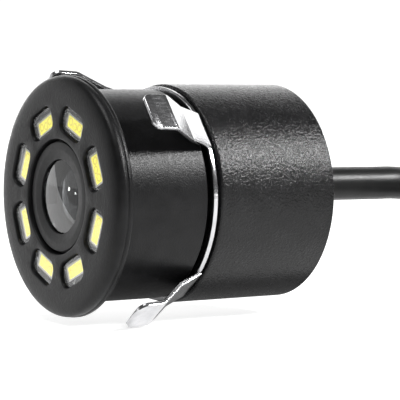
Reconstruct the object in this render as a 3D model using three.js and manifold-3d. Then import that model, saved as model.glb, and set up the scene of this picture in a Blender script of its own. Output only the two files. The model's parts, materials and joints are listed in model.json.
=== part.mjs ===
// A flush-mount reversing camera for a round drilled hole in a bumper or tailgate. The lens and a
// ring of eight white lamps look out through a round flange, four sprung steel wings hold the barrel
// behind the panel, and a pigtail cable leaves the back of the barrel and ends in a four-pole plug.
//
// Sizes are in millimetres. In the camera's own group the optical axis is the Y line through the
// origin: the camera looks along -Y, and y = 0 is the back of the flange, which seats on the panel.
// Angles round the axis are measured from straight up (+Z) towards +X.
import * as THREE from "three";
import { mergeVertices } from "three/addons/utils/BufferGeometryUtils.js";
import Module from "manifold-3d";

const wasm = await Module();
wasm.setup();

// ---- Driving dimensions ----
const roundSegments = 40;
const smallSegments = 20;

// Front housing: the flange, its face and the front barrel.
const flangeRadius = 9.85;
const flangeThickness = 1.35;
const flangeRounding = 1.1;
const flangeBackChamfer = 0.12;
const frontBarrelRadius = 8.7;
const frontBarrelEnd = 7.7;
const frontBarrelBore = 7.9;
const faceWall = 1.1;
const lensHoleRadius = 4.7;
const faceFront = -flangeThickness;
const faceBack = faceFront + faceWall;

// Lamps: slots in the face, the clear window that fills them from behind, and the lamp packages,
// each in a pocket in the window's back.
const lampCount = 8;
const lampStep = 360 / lampCount;
const slotCircleRadius = 6.355;
const slotWidth = 3.6;
const slotHeight = 2.2;
const slotCorner = 0.7;
const windowGap = 0.06;
const windowRecess = 0.27;
const windowThickness = 0.21;
const windowPlateBack = 0.2;
const windowFront = faceFront + windowRecess;
const lampCircleRadius = 6.23;
const lampWidth = 2.62;
const lampHeight = 1.28;
const lampThickness = 1.1;
const lampGap = 0.04;
const lampFront = windowFront + windowThickness + lampGap;
const lampBack = lampFront + lampThickness;
const lampBoardFront = lampBack + 0.03;
const lampBoardBack = lampBoardFront + 0.8;
const lampBoardBore = 4.85;
const lampBoardRadius = 7.75;

// Rear housing: the spigot that plugs into the front barrel, the barrel and its back wall.
const grooveWidth = 1.0;
const rearRadius = 9.15;
const rearStart = frontBarrelEnd + grooveWidth;
const rearEnd = 20.0;
const rearWall = 1.3;
const rearBore = 8.25;
const rearEdge = 0.15;
const spigotStart = 4.4;
const spigotRadius = 7.55;
const spigotBore = 6.95;
const sealGrooveRadius = 7.2;
const sealGrooveStart = 5.2;
const sealGrooveEnd = 6.2;
const housingSealSection = 0.28;

// Steel clip: a flat ring in the groove between the housings, with four wings at its edge.
const clipThickness = 0.4;
const clipInnerRadius = 7.8;
const clipOuterRadius = 8.95;
const clipFront = frontBarrelEnd + 0.38;
const wingCount = 4;
const wingStep = 360 / wingCount;
const firstWingAngle = 53.2;
const wingWidth = 3.3;
const wingThickness = 0.36;
const wingTipCorner = 0.75;
const wingRootRadius = 9.14;

// Lens: barrel with a dished nose, three glass elements, a spacer, a seal and an infrared filter.
const noseRadius = 4.47;
const noseFront = faceFront + 0.25;
const noseBack = 0.9;
const dishOuterRadius = 3.8;
const dishInnerRadius = 3.12;
const dishDepth = 0.08;
const lipRadius = 3.03;
const lipBack = noseFront + 0.26;
const frontBore = 3.2;
const frontBoreEnd = 1.7;
const frontLensRadius = 3.12;
const frontLensEdge = lipBack + 0.04;
const frontLensCrown = 0.22;
const frontLensBack = 1.5;
const innerLensRadius = 2.62;
const spacerFront = 1.9;
const spacerBack = 2.9;
const middleLensFront = 3.1;
const middleLensBack = 4.2;
const rearLensFront = 5.3;
const rearLensBack = 6.2;
const filterSize = 4.2;
const filterThickness = 0.3;
const filterCentre = 7.85;
const middleBore = 2.7;
const rearBoreRadius = 2.1;
const lensThreadRadius = 3.9;
const lensBarrelEnd = 7.3;
const noseSealSection = 0.24;
const noseSealCentre = faceBack - 0.4;

// Lens holder, sensor and the two round circuit boards.
const boardRadius = 6.6;
const holderRadius = 5.1;
const holderFront = 3.4;
const holderBase = 8.4;
const holderBack = 9.95;
const holderWidth = 13.0;
const holderHeight = 8.4;
const sensorPocketWidth = 6.4;
const sensorPocketHeight = 5.4;
const sensorBoardFront = 10.0;
const mainBoardFront = 13.2;
const boardThickness = 0.8;
const fixingOffset = 5.4;
const fixingHoleRadius = 0.62;

// Cable: the moulded grommet in the back wall, the pigtail and the plug on its end.
const cableDiameter = 3.0;
const cableRadius = cableDiameter / 2;
const cableOffset = 0.4;
const cableGap = 0.3;
const cableSides = 8;
const grommetHoleRadius = 2.25;
const grommetEnd = 24.5;
const grommetFlangeFront = 17.3;

// The spare length lies behind the camera in a flat coil of two layers, held by a tie. The turns run
// from the outside in along the ground, then from the inside out on top. These sizes and the pigtail's
// places are in the part's own frame, with the ground at z = 0.
const coilPitch = 3.1;
const coilOuterTurn = 18.5;
const coilInnerTurn = 12.0;
const coilCentre = [12.5, 43.5];
const coilLift = 0.6;
const coilBottomHeight = coilLift + cableRadius;
const coilTopHeight = coilBottomHeight + coilPitch;
const coilSlack = 0.06;
const coilTop = coilTopHeight + cableRadius + coilSlack;
const tieThickness = 0.5;
const tieWidth = 2.4;
const tieAngle = 60;
const tieClearance = 0.3;

// The plug lies across the coil and points away from the camera. Its own lengths start at the rim of
// its shell.
const plugRadius = 4.0;
const plugX = 4.5;
const plugAxisHeight = coilTop + 0.1 + plugRadius;
const plugBack = 39.3;
const plugShellLength = 5.4;
const plugBodyLength = 13.5;
const plugReliefLength = 6.5;
const plugBodyBack = plugShellLength + plugBodyLength;
const plugLength = plugBodyBack + plugReliefLength;
const plugShellRadius = 3.3;
const plugInsertRadius = 2.85;
const plugPoleRadius = 0.45;
const plugPoleCircle = 1.45;

// ---- Materials ----
function paint(color, roughness, metalness = 0, opacity = 1) {
  const transparent = opacity < 1;
  return new THREE.MeshStandardMaterial({ color, roughness, metalness, opacity, transparent });
}
const satinBlack = paint(0x1c1c1d, 0.5);
const grainBlack = paint(0x1a1a1b, 0.62);
const springSteel = paint(0xc9ccd0, 0.2, 1);
const moulding = paint(0x161617, 0.55);
const rubber = paint(0x121212, 0.85);
const clearPlastic = paint(0xe8eef2, 0.08, 0, 0.35);
const glass = paint(0xdfe8ea, 0.03, 0, 0.35);
const lampBody = paint(0xf6ee86, 0.4);
const circuitBoard = paint(0x14502e, 0.5);
const chip = paint(0x202022, 0.45);
const brass = paint(0xb78f3c, 0.3, 1);
const cableJacket = paint(0x141415, 0.5);
const nickel = paint(0xb9bcc0, 0.25, 1);
const nylon = paint(0xe8e4d8, 0.6);

// ---- Helpers ----
const radians = THREE.MathUtils.degToRad;

// Points of a circular arc in a (radius, axial) profile, both ends included.
function arc(centreX, centreY, radius, fromDegrees, toDegrees, steps) {
  const points = [];
  for (let i = 0; i <= steps; i++) {
    const angle = radians(fromDegrees + ((toDegrees - fromDegrees) * i) / steps);
    points.push([centreX + radius * Math.cos(angle), centreY + radius * Math.sin(angle)]);
  }
  return points;
}

// A body of revolution about Y. A profile that doesn't start and end on the axis is closed here.
function turned(profile, segments = roundSegments) {
  const points = profile.map(([radius, axial]) => new THREE.Vector2(radius, axial));
  const first = points[0];
  const last = points[points.length - 1];
  if (first.x > 0 || last.x > 0) {
    points.push(first.clone());
  }
  return new THREE.LatheGeometry(points, segments);
}

// A closed geometry as a manifold-3d solid.
function solid(geometry) {
  const bare = geometry.index ? geometry.toNonIndexed() : geometry.clone();
  bare.deleteAttribute("normal");
  bare.deleteAttribute("uv");
  const merged = mergeVertices(bare, 1e-4);
  return new wasm.Manifold(
    new wasm.Mesh({
      numProp: 3,
      vertProperties: new Float32Array(merged.attributes.position.array),
      triVerts: new Uint32Array(merged.index.array),
    }),
  );
}

// A manifold-3d solid as a geometry.
function geometryOf(manifold) {
  const mesh = manifold.getMesh();
  const geometry = new THREE.BufferGeometry();
  geometry.setAttribute("position", new THREE.BufferAttribute(mesh.vertProperties, 3));
  geometry.setIndex(new THREE.BufferAttribute(mesh.triVerts, 1));
  geometry.computeVertexNormals();
  return geometry;
}

// The body less every cutter.
function cut(body, cutters) {
  return geometryOf(cutters.reduce((rest, cutter) => rest.subtract(solid(cutter)), solid(body)));
}

// A rounded rectangle centred on the shape's origin.
function roundedRectangle(width, height, corner) {
  const right = width / 2;
  const top = height / 2;
  const shape = new THREE.Shape();
  shape.moveTo(right, corner - top);
  shape.lineTo(right, top - corner);
  shape.absarc(right - corner, top - corner, corner, 0, Math.PI / 2);
  shape.lineTo(corner - right, top);
  shape.absarc(corner - right, top - corner, corner, Math.PI / 2, Math.PI);
  shape.lineTo(-right, corner - top);
  shape.absarc(corner - right, corner - top, corner, Math.PI, Math.PI * 1.5);
  shape.lineTo(right - corner, -top);
  shape.absarc(right - corner, corner - top, corner, Math.PI * 1.5, Math.PI * 2);
  return shape;
}

// A shape drawn with X across and Y up, extruded along the optical axis from one y to another.
function alongAxis(shape, fromY, toY, curveSegments = 3) {
  const geometry = new THREE.ExtrudeGeometry(shape, {
    depth: toY - fromY,
    bevelEnabled: false,
    curveSegments,
  });
  const across = new THREE.Vector3(1, 0, 0);
  const up = new THREE.Vector3(0, 0, 1);
  const forward = new THREE.Vector3(0, -1, 0);
  geometry.applyMatrix4(new THREE.Matrix4().makeBasis(across, up, forward));
  return geometry.translate(0, toY, 0);
}

function block(width, length, height, x, y, z) {
  return new THREE.BoxGeometry(width, length, height).translate(x, y, z);
}

function rod(radius, fromY, toY, x, z, segments = smallSegments) {
  const geometry = new THREE.CylinderGeometry(radius, radius, toY - fromY, segments);
  return geometry.translate(x, (fromY + toY) / 2, z);
}

// A round cord through a list of points.
function cord(points, radius, steps, sides) {
  const section = new THREE.Shape();
  section.absarc(0, 0, radius, 0, Math.PI * 2);
  const path = new THREE.CatmullRomCurve3(points.map((point) => new THREE.Vector3(...point)));
  return new THREE.ExtrudeGeometry(section, {
    steps,
    extrudePath: path,
    curveSegments: sides / 2,
  });
}

const camera = new THREE.Group();
const pigtail = new THREE.Group();

function place(group, name, geometry, material, turn = 0) {
  const mesh = new THREE.Mesh(geometry, material);
  mesh.name = name;
  mesh.rotation.y = radians(turn);
  group.add(mesh);
  return mesh;
}

// ---- Housings ----
function frontHousing() {
  const rimCentre = flangeRadius - flangeRounding;
  const body = turned([
    [lensHoleRadius, faceBack],
    [lensHoleRadius, faceFront],
    ...arc(rimCentre, faceFront + flangeRounding, flangeRounding, -90, 0, 5),
    [flangeRadius, -flangeBackChamfer],
    [flangeRadius - flangeBackChamfer, 0],
    [frontBarrelRadius, 0],
    [frontBarrelRadius, frontBarrelEnd - 0.15],
    [frontBarrelRadius - 0.15, frontBarrelEnd],
    [frontBarrelBore, frontBarrelEnd],
    [frontBarrelBore, faceBack],
  ]);
  const slots = [];
  for (let i = 0; i < lampCount; i++) {
    const outline = roundedRectangle(slotWidth, slotHeight, slotCorner);
    const slot = alongAxis(outline, faceFront - 1, faceBack + 0.2).translate(0, 0, slotCircleRadius);
    slots.push(slot.rotateY(radians((i + 0.5) * lampStep)));
  }
  return cut(body, slots);
}

function rearHousing() {
  const body = turned([
    [spigotBore, spigotStart],
    [spigotRadius, spigotStart],
    [spigotRadius, sealGrooveStart],
    [sealGrooveRadius, sealGrooveStart],
    [sealGrooveRadius, sealGrooveEnd],
    [spigotRadius, sealGrooveEnd],
    [spigotRadius, rearStart],
    [rearRadius - 0.15, rearStart],
    [rearRadius, rearStart + 0.15],
    ...arc(rearRadius - rearEdge, rearEnd - rearEdge, rearEdge, 0, 90, 3),
    [0, rearEnd],
    [0, rearEnd - rearWall],
    [rearBore, rearEnd - rearWall],
    [rearBore, rearStart + 0.9],
    [spigotBore, rearStart + 0.9],
  ]);
  return cut(body, [rod(grommetHoleRadius, rearEnd - rearWall - 1, rearEnd + 1, 0, cableOffset)]);
}

function sealRing(centreRadius, section, axial, segments) {
  return turned(arc(centreRadius, axial, section, 0, 300, 5), segments);
}

place(camera, "front_housing", frontHousing(), satinBlack);
place(camera, "rear_housing", rearHousing(), grainBlack);
place(
  camera,
  "housing_seal",
  sealRing(
    sealGrooveRadius + housingSealSection + 0.02,
    housingSealSection,
    (sealGrooveStart + sealGrooveEnd) / 2,
    roundSegments,
  ),
  rubber,
);

// ---- Lens ----
function lensBarrel() {
  const sealHalf = noseSealSection + 0.02;
  const sealDepth = 0.36;
  return turned([
    [dishOuterRadius, noseFront],
    [noseRadius - 0.08, noseFront],
    [noseRadius, noseFront + 0.08],
    [noseRadius, noseSealCentre - sealHalf],
    [noseRadius - sealDepth, noseSealCentre - sealHalf],
    [noseRadius - sealDepth, noseSealCentre + sealHalf],
    [noseRadius, noseSealCentre + sealHalf],
    [noseRadius, noseBack],
    [lensThreadRadius, noseBack],
    [lensThreadRadius, lensBarrelEnd],
    [rearBoreRadius, lensBarrelEnd],
    [rearBoreRadius, lensBarrelEnd - 0.5],
    [middleBore, lensBarrelEnd - 0.5],
    [middleBore, frontBoreEnd],
    [frontBore, frontBoreEnd],
    [frontBore, lipBack],
    [lipRadius, lipBack],
    [lipRadius, noseFront + dishDepth + 0.05],
    [dishInnerRadius, noseFront + dishDepth],
  ], 32);
}

// A lens element: front and back crowns are the heights of its two curved faces at the axis.
function lensElement(radius, frontEdge, backEdge, frontCrown, backCrown) {
  const rings = 5;
  const points = [];
  for (let i = 0; i <= rings; i++) {
    const share = i / rings;
    points.push([radius * share, frontEdge - frontCrown * (1 - share * share)]);
  }
  for (let i = rings; i >= 0; i--) {
    const share = i / rings;
    points.push([radius * share, backEdge + backCrown * (1 - share * share)]);
  }
  return turned(points, smallSegments);
}

place(camera, "lens_barrel", lensBarrel(), moulding);
place(
  camera,
  "front_lens",
  lensElement(frontLensRadius, frontLensEdge, frontLensBack, frontLensCrown, -0.5),
  glass,
);
place(
  camera,
  "lens_spacer",
  turned([
    [rearBoreRadius, spacerFront],
    [innerLensRadius, spacerFront],
    [innerLensRadius, spacerBack],
    [rearBoreRadius, spacerBack],
  ], smallSegments),
  moulding,
);
place(
  camera,
  "middle_lens",
  lensElement(innerLensRadius, middleLensFront, middleLensBack, 0.1, 0.3),
  glass,
);
place(
  camera,
  "rear_lens",
  lensElement(innerLensRadius, rearLensFront, rearLensBack, 0.45, 0.35),
  glass,
);
place(
  camera,
  "lens_seal",
  sealRing(noseRadius - 0.06, noseSealSection, noseSealCentre, 32),
  rubber,
);
place(
  camera,
  "infrared_filter",
  block(filterSize, filterThickness, filterSize, 0, filterCentre, 0),
  glass,
);

function lensHolder() {
  const base = solid(block(holderWidth, holderBack - holderBase, holderHeight, 0,
    (holderBack + holderBase) / 2, 0));
  const round = solid(rod(boardRadius, holderBase - 1, holderBack + 1, 0, 0, roundSegments));
  const body = base.intersect(round).add(solid(rod(holderRadius, holderFront, holderBase + 0.1, 0, 0, 32)));
  const fixings = [-fixingOffset, fixingOffset].map((x) =>
    solid(rod(fixingHoleRadius, holderBase - 1, holderBack + 1, x, 0, 12)),
  );
  const thread = solid(rod(lensThreadRadius + 0.1, holderFront - 1, lensBarrelEnd + 0.15, 0, 0, 32));
  const filterSeat = solid(block(filterSize + 0.4, 3, filterSize + 0.4, 0, 8.8, 0));
  const pocket = solid(block(sensorPocketWidth, 3, sensorPocketHeight, 0, 9.7, 0));
  const cuts = [thread, filterSeat, pocket, ...fixings];
  return geometryOf(cuts.reduce((rest, cutter) => rest.subtract(cutter), body));
}
place(camera, "lens_holder", lensHolder(), moulding);

// ---- Lamps ----
function lampWindow() {
  const plateFront = faceBack + 0.05;
  const plate = turned([
    [lampBoardBore, plateFront],
    [lampBoardRadius, plateFront],
    [lampBoardRadius, windowPlateBack],
    [lampBoardBore, windowPlateBack],
  ]);
  const boss = roundedRectangle(
    slotWidth - 2 * windowGap,
    slotHeight - 2 * windowGap,
    slotCorner - windowGap,
  );
  const pocketLength = windowPlateBack + 1 - (lampFront - lampGap);
  let body = solid(plate);
  for (let i = 0; i < lampCount; i++) {
    const turn = radians((i + 0.5) * lampStep);
    const pillar = alongAxis(boss, windowFront, windowPlateBack - 0.1, 2);
    pillar.translate(0, 0, slotCircleRadius).rotateY(turn);
    const pocket = block(
      lampWidth + 2 * lampGap,
      pocketLength,
      lampHeight + 2 * lampGap,
      0,
      lampFront - lampGap + pocketLength / 2,
      lampCircleRadius,
    );
    body = body.add(solid(pillar)).subtract(solid(pocket.rotateY(turn)));
  }
  return geometryOf(body);
}
place(camera, "lamp_window", lampWindow(), clearPlastic);

// The lamps' board has a black mask, so that it doesn't show through the slots.
place(
  camera,
  "lamp_board",
  turned([
    [lampBoardBore, lampBoardFront],
    [lampBoardRadius, lampBoardFront],
    [lampBoardRadius, lampBoardBack],
    [lampBoardBore, lampBoardBack],
  ]),
  chip,
);
for (let i = 0; i < lampCount; i++) {
  const lamp = block(
    lampWidth,
    lampThickness,
    lampHeight,
    0,
    (lampFront + lampBack) / 2,
    lampCircleRadius,
  );
  place(camera, "lamp_" + (i + 1), lamp, lampBody, (i + 0.5) * lampStep);
}

// ---- Sensor and boards ----
function roundBoard(front) {
  const disc = rod(boardRadius, front, front + boardThickness, 0, 0, 40);
  const holes = [-fixingOffset, fixingOffset].map((x) =>
    rod(fixingHoleRadius, front - 1, front + 2, x, 0, 12),
  );
  return cut(disc, holes);
}
const sensorBoardBack = sensorBoardFront + boardThickness;
const mainBoardBack = mainBoardFront + boardThickness;
place(camera, "image_sensor", block(4.8, 0.85, 4.2, 0, sensorBoardFront - 0.46, 0), chip);
place(camera, "sensor_board", roundBoard(sensorBoardFront), circuitBoard);
place(camera, "main_board", roundBoard(mainBoardFront), circuitBoard);
place(camera, "video_chip", block(4.4, 0.9, 4.4, 0, sensorBoardBack + 0.5, 1.6), chip);
place(
  camera,
  "board_header",
  block(7.0, mainBoardFront - sensorBoardBack - 0.1, 1.2, 0,
    (mainBoardFront + sensorBoardBack) / 2, -4.4),
  chip,
);

// A tube between the boards at each fixing, and the screw that runs through it into the holder.
function boardSpacer(x) {
  const outer = rod(1.1, sensorBoardBack + 0.03, mainBoardFront - 0.03, x, 0, 16);
  return cut(outer, [rod(fixingHoleRadius, sensorBoardFront, mainBoardBack, x, 0, 12)]);
}
function boardScrew(x) {
  const shank = solid(rod(0.5, holderBase + 0.2, mainBoardBack + 0.2, x, 0, 12));
  const head = solid(rod(1.05, mainBoardBack + 0.05, mainBoardBack + 0.8, x, 0, 16));
  const drive = solid(block(1.5, 0.6, 0.3, x, mainBoardBack + 0.8, 0));
  return geometryOf(shank.add(head).subtract(drive));
}
[-fixingOffset, fixingOffset].forEach((x, i) => {
  place(camera, "board_spacer_" + (i + 1), boardSpacer(x), brass);
  place(camera, "board_screw_" + (i + 1), boardScrew(x), nickel);
});

// The two-wire lead that feeds the lamp board runs back beside the lens holder, past both boards.
place(
  camera,
  "lamp_lead",
  cord(
    [[0, lampBoardBack + 0.05, -6.1], [0, 4.2, -6.2], [0, 8.0, -5.9], [0, 9.9, -5.9]],
    0.4,
    10,
    6,
  ),
  cableJacket,
);

// ---- Cable entry ----
const coreHeaderFront = mainBoardBack + 0.05;
const coreHeaderBack = coreHeaderFront + 1.9;
place(
  camera,
  "core_header",
  block(5.6, coreHeaderBack - coreHeaderFront, 2.6, 0,
    (coreHeaderFront + coreHeaderBack) / 2, cableOffset),
  nylon,
);
const coreColours = [0xb02a22, 0x151515, 0xd9b32a, 0xe6e6e6];
coreColours.forEach((colour, i) => {
  const spread = (i - (coreColours.length - 1) / 2) * 1.25;
  const core = cord(
    [
      [spread, coreHeaderBack + 0.05, cableOffset],
      [spread * 0.9, coreHeaderBack + 0.5, cableOffset],
      [spread * 0.85, grommetFlangeFront - 0.05, cableOffset],
    ],
    0.32,
    4,
    6,
  );
  place(camera, "cable_core_" + (i + 1), core, paint(colour, 0.5));
});

function grommet() {
  const innerFace = rearEnd - rearWall;
  const body = turned([
    [0, grommetFlangeFront],
    [3.2, grommetFlangeFront],
    [3.2, innerFace - 0.08],
    [grommetHoleRadius - 0.08, innerFace - 0.08],
    [grommetHoleRadius - 0.08, rearEnd + 0.08],
    [2.9, rearEnd + 0.08],
    [2.9, rearEnd + 0.9],
    [2.55, rearEnd + 1.3],
    [2.0, grommetEnd - 0.2],
    [1.8, grommetEnd],
    [0, grommetEnd],
  ], smallSegments);
  return body.translate(0, 0, cableOffset);
}
place(camera, "cable_grommet", grommet(), rubber);

// ---- Clip ring and wings ----
function clipRing() {
  const back = clipFront + clipThickness;
  const ring = solid(turned([
    [clipInnerRadius, clipFront],
    [clipOuterRadius, clipFront],
    [clipOuterRadius, back],
    [clipInnerRadius, back],
  ]));
  const tabHeight = 1.2;
  let body = ring;
  for (let i = 0; i < wingCount; i++) {
    const tab = block(wingWidth, clipThickness, tabHeight, 0, (clipFront + back) / 2,
      wingRootRadius - tabHeight / 2);
    body = body.add(solid(tab.rotateY(radians(firstWingAngle + i * wingStep))));
  }
  return geometryOf(body);
}

// The outer face of a wing in (axial, radial) steps from its root to its tip, and the radius of the
// bend at each corner.
const wingCorners = [
  [8.0, 9.12, 0],
  [6.16, 10.0, 0.8],
  [3.95, 11.58, 0.9],
  [1.65, 11.75, 0],
];

// The corners as a smooth line, each inner corner replaced by an arc of its bend radius.
function bentLine(corners) {
  const line = [];
  corners.forEach(([axial, radial, bend], i) => {
    const here = new THREE.Vector2(axial, radial);
    if (bend === 0) {
      line.push(here);
      return;
    }
    const before = new THREE.Vector2(...corners[i - 1].slice(0, 2)).sub(here).normalize();
    const after = new THREE.Vector2(...corners[i + 1].slice(0, 2)).sub(here).normalize();
    const half = Math.acos(before.dot(after)) / 2;
    const reach = bend / Math.tan(half);
    const curve = new THREE.QuadraticBezierCurve(
      here.clone().addScaledVector(before, reach),
      here,
      here.clone().addScaledVector(after, reach),
    );
    line.push(...curve.getPoints(3));
  });
  return line;
}

// The sheet between a line and its offset by the wing's thickness, as a closed shape.
function sheetShape(line, thickness) {
  const inner = line.map((point, i) => {
    const before = line[Math.max(i - 1, 0)];
    const after = line[Math.min(i + 1, line.length - 1)];
    const along = after.clone().sub(before).normalize();
    return new THREE.Vector2(point.x - along.y * thickness, point.y + along.x * thickness);
  });
  return new THREE.Shape([...line, ...inner.reverse()]);
}

function wing() {
  const profile = sheetShape(bentLine(wingCorners), wingThickness);
  const side = new THREE.ExtrudeGeometry(profile, { depth: wingWidth, bevelEnabled: false });
  const axial = new THREE.Vector3(0, 1, 0);
  const radial = new THREE.Vector3(0, 0, 1);
  const across = new THREE.Vector3(1, 0, 0);
  side.applyMatrix4(new THREE.Matrix4().makeBasis(axial, radial, across));
  side.translate(-wingWidth / 2, 0, 0);
  const tip = wingCorners[wingCorners.length - 1][0];
  const plan = roundedRectangle(wingWidth, 20, wingTipCorner);
  const outline = new THREE.ExtrudeGeometry(plan, {
    depth: 20,
    bevelEnabled: false,
    curveSegments: 5,
  });
  outline.translate(0, tip + 10 + 0.02, 0);
  return geometryOf(solid(side).intersect(solid(outline)));
}

place(camera, "clip_ring", clipRing(), springSteel);
for (let i = 0; i < wingCount; i++) {
  place(camera, "wing_" + (i + 1), wing(), springSteel, firstWingAngle + i * wingStep);
}

// ---- Where the camera stands ----
// The lowest wing corner touches the ground, and the origin is below the middle of the camera.
camera.updateMatrixWorld(true);
const cameraBox = new THREE.Box3().setFromObject(camera, true);
const middle = cameraBox.getCenter(new THREE.Vector3());
const axisHeight = -cameraBox.min.z;
camera.position.set(-middle.x, -middle.y, axisHeight);

// ---- Pigtail ----
// Everything from here on is in the part's own frame.
const cableExit = grommetEnd - middle.y;
const cableExitHeight = axisHeight + cableOffset;

// Straight out of the grommet, then down and aside to the coil's outer turn on the ground.
const runRoute = [
  [0, cableExit + cableGap, cableExitHeight],
  [0, 17.0, cableExitHeight - 0.02],
  [0, 20.0, cableExitHeight - 0.05],
  [0, 22.0, cableExitHeight - 0.07],
  [-0.18, 24.5, 10.42],
  [-0.71, 27.0, 9.68],
  [-1.6, 29.5, 8.4],
  [-3.0, 32.25, 6.4],
  [-4.4, 35.0, 4.4],
  [-5.3, 37.5, 3.12],
  [-5.83, 40.0, 2.36],
  [-6.0, 42.3, coilBottomHeight],
  [coilCentre[0] - coilOuterTurn, coilCentre[1], coilBottomHeight],
];

// From the coil's top layer up and across it, over the turns below, to the plug.
const tailRoute = [
  [30.7, 43.5, coilTopHeight],
  [30.0, 38.2, 5.7],
  [27.6, 33.3, 7.0],
  [24.2, 29.6, 8.2],
  [20.6, 27.5, 8.9],
  [16.5, 26.75, 9.4],
  [12.4, 27.5, 9.8],
  [8.8, 29.6, 10.2],
  [6.1, 32.75, 10.5],
  [4.7, 36.7, 10.75],
  [plugX, plugBack - cableGap, plugAxisHeight],
];

// The outer shape of the coil, or that shape grown all round by a gap.
function coilShape(gap = 0) {
  const inner = coilInnerTurn - cableRadius - coilSlack - gap;
  const outer = coilOuterTurn + cableRadius + coilSlack + gap;
  const low = coilLift - gap;
  const high = coilTop + gap;
  const corner = 1.0;
  const ring = turned([
    [inner, low + corner],
    [inner + corner, low],
    [outer - corner, low],
    [outer, low + corner],
    [outer, high - corner],
    [outer - corner, high],
    [inner + corner, high],
    [inner, high - corner],
  ], 36);
  return ring.rotateX(Math.PI / 2).translate(coilCentre[0], coilCentre[1], 0);
}

// A strap round the coil's section, with its locking head on the outside.
function cableTie() {
  const inner = coilInnerTurn - cableRadius - coilSlack - tieClearance;
  const outer = coilOuterTurn + cableRadius + coilSlack + tieClearance;
  const high = coilTop + 0.1;
  const width = outer - inner;
  const height = high - tieThickness;
  const strap = roundedRectangle(width + 2 * tieThickness, height + 2 * tieThickness, 1.1);
  strap.holes.push(roundedRectangle(width, height, 0.6));
  const middleRadius = (inner + outer) / 2;
  const middleHeight = (tieThickness + high) / 2;
  const loop = alongAxis(strap, -tieWidth / 2, tieWidth / 2).translate(middleRadius, 0, middleHeight);
  const headX = outer + tieThickness + 0.9;
  const head = block(2.2, tieWidth + 1.0, 3.2, headX, 0, middleHeight);
  const tie = geometryOf(solid(loop).add(solid(head)));
  return tie.rotateZ(radians(tieAngle)).translate(coilCentre[0], coilCentre[1], 0);
}

// The plug is drawn along its own Y axis, with the rim of its shell at the origin, and then turned
// round so that the rim points away from the camera.
const plug = new THREE.Group();
plug.position.set(plugX, plugBack + plugLength, plugAxisHeight);
plug.rotation.z = Math.PI;

function plugBody() {
  const ribCount = 3;
  const ribPitch = 2.4;
  const ribDepth = 0.35;
  const ribs = [];
  for (let i = 0; i < ribCount; i++) {
    const start = plugShellLength + 4.0 + i * ribPitch;
    ribs.push([plugRadius, start], [plugRadius - ribDepth, start + 0.3]);
    ribs.push([plugRadius - ribDepth, start + 0.9], [plugRadius, start + 1.2]);
  }
  return turned([
    [0, plugShellLength],
    [plugRadius - 0.5, plugShellLength],
    [plugRadius, plugShellLength + 0.5],
    ...ribs,
    [plugRadius, plugBodyBack - 0.6],
    [plugRadius - 0.6, plugBodyBack],
    [2.9, plugBodyBack + 0.1],
    [2.0, plugLength - 0.3],
    [1.75, plugLength],
    [0, plugLength],
  ], smallSegments);
}

function plugShell() {
  return turned([
    [plugInsertRadius + 0.1, 0],
    [plugShellRadius - 0.12, 0],
    [plugShellRadius, 0.12],
    [plugShellRadius, plugShellLength - 0.06],
    [plugInsertRadius + 0.1, plugShellLength - 0.06],
  ], smallSegments);
}

function plugInsert() {
  const front = 0.6;
  const back = plugShellLength - 0.06;
  const poles = [45, 135, 225, 315].map((angle) => {
    const x = plugPoleCircle * Math.cos(radians(angle));
    const z = plugPoleCircle * Math.sin(radians(angle));
    return rod(plugPoleRadius, front - 1, front + 3.2, x, z, 10);
  });
  const keyway = block(0.8, 8, 0.6, 0, front, plugInsertRadius);
  return cut(rod(plugInsertRadius, front, back, 0, 0), [...poles, keyway]);
}

const grownCoil = coilShape(cableGap);
place(pigtail, "cable_run", cut(cord(runRoute, cableRadius, 24, cableSides), [grownCoil]), cableJacket);
place(pigtail, "cable_coil", coilShape(), cableJacket);
place(pigtail, "cable_tie", cableTie(), moulding);
place(pigtail, "cable_tail", cut(cord(tailRoute, cableRadius, 20, cableSides), [grownCoil]), cableJacket);
place(plug, "plug_body", plugBody(), moulding);
place(plug, "plug_shell", plugShell(), nickel);
place(plug, "plug_insert", plugInsert(), moulding);
pigtail.add(plug);

const part = new THREE.Group();
part.add(camera, pigtail);
export default part;
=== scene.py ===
import json
import math

import bmesh
import bpy
from mathutils import Matrix, Vector


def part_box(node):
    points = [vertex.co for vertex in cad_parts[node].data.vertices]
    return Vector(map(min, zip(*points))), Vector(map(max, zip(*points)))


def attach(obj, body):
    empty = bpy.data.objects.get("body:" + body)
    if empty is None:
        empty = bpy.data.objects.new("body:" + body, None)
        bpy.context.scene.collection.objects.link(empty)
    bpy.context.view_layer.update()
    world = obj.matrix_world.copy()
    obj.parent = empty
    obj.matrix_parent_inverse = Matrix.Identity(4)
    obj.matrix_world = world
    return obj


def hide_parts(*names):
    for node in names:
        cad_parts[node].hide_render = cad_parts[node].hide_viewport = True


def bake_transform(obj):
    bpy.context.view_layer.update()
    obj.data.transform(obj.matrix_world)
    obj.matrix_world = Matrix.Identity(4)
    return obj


# The looks of a flush-mount reversing camera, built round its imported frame. Shapes are drawn in
# millimetres in the camera's own frame, as in the design: the optical axis is the Y line through
# the origin, the camera looks along -Y, y = 0 is the back of the flange, and angles round the axis
# go from +Z towards +X. A place matrix then carries each shape into the frame, in metres.
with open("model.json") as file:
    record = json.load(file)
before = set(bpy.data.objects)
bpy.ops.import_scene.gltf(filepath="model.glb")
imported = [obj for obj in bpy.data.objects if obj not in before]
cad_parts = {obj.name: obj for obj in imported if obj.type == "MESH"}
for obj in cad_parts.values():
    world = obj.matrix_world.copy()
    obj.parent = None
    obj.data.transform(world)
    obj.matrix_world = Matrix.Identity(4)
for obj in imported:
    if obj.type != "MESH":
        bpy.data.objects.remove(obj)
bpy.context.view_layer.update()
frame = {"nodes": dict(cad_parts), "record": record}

# ---- Sizes and places, from the frame ----
MM = 0.001
housing_low, housing_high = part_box("front_housing")
rear_low, rear_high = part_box("rear_housing")
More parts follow.
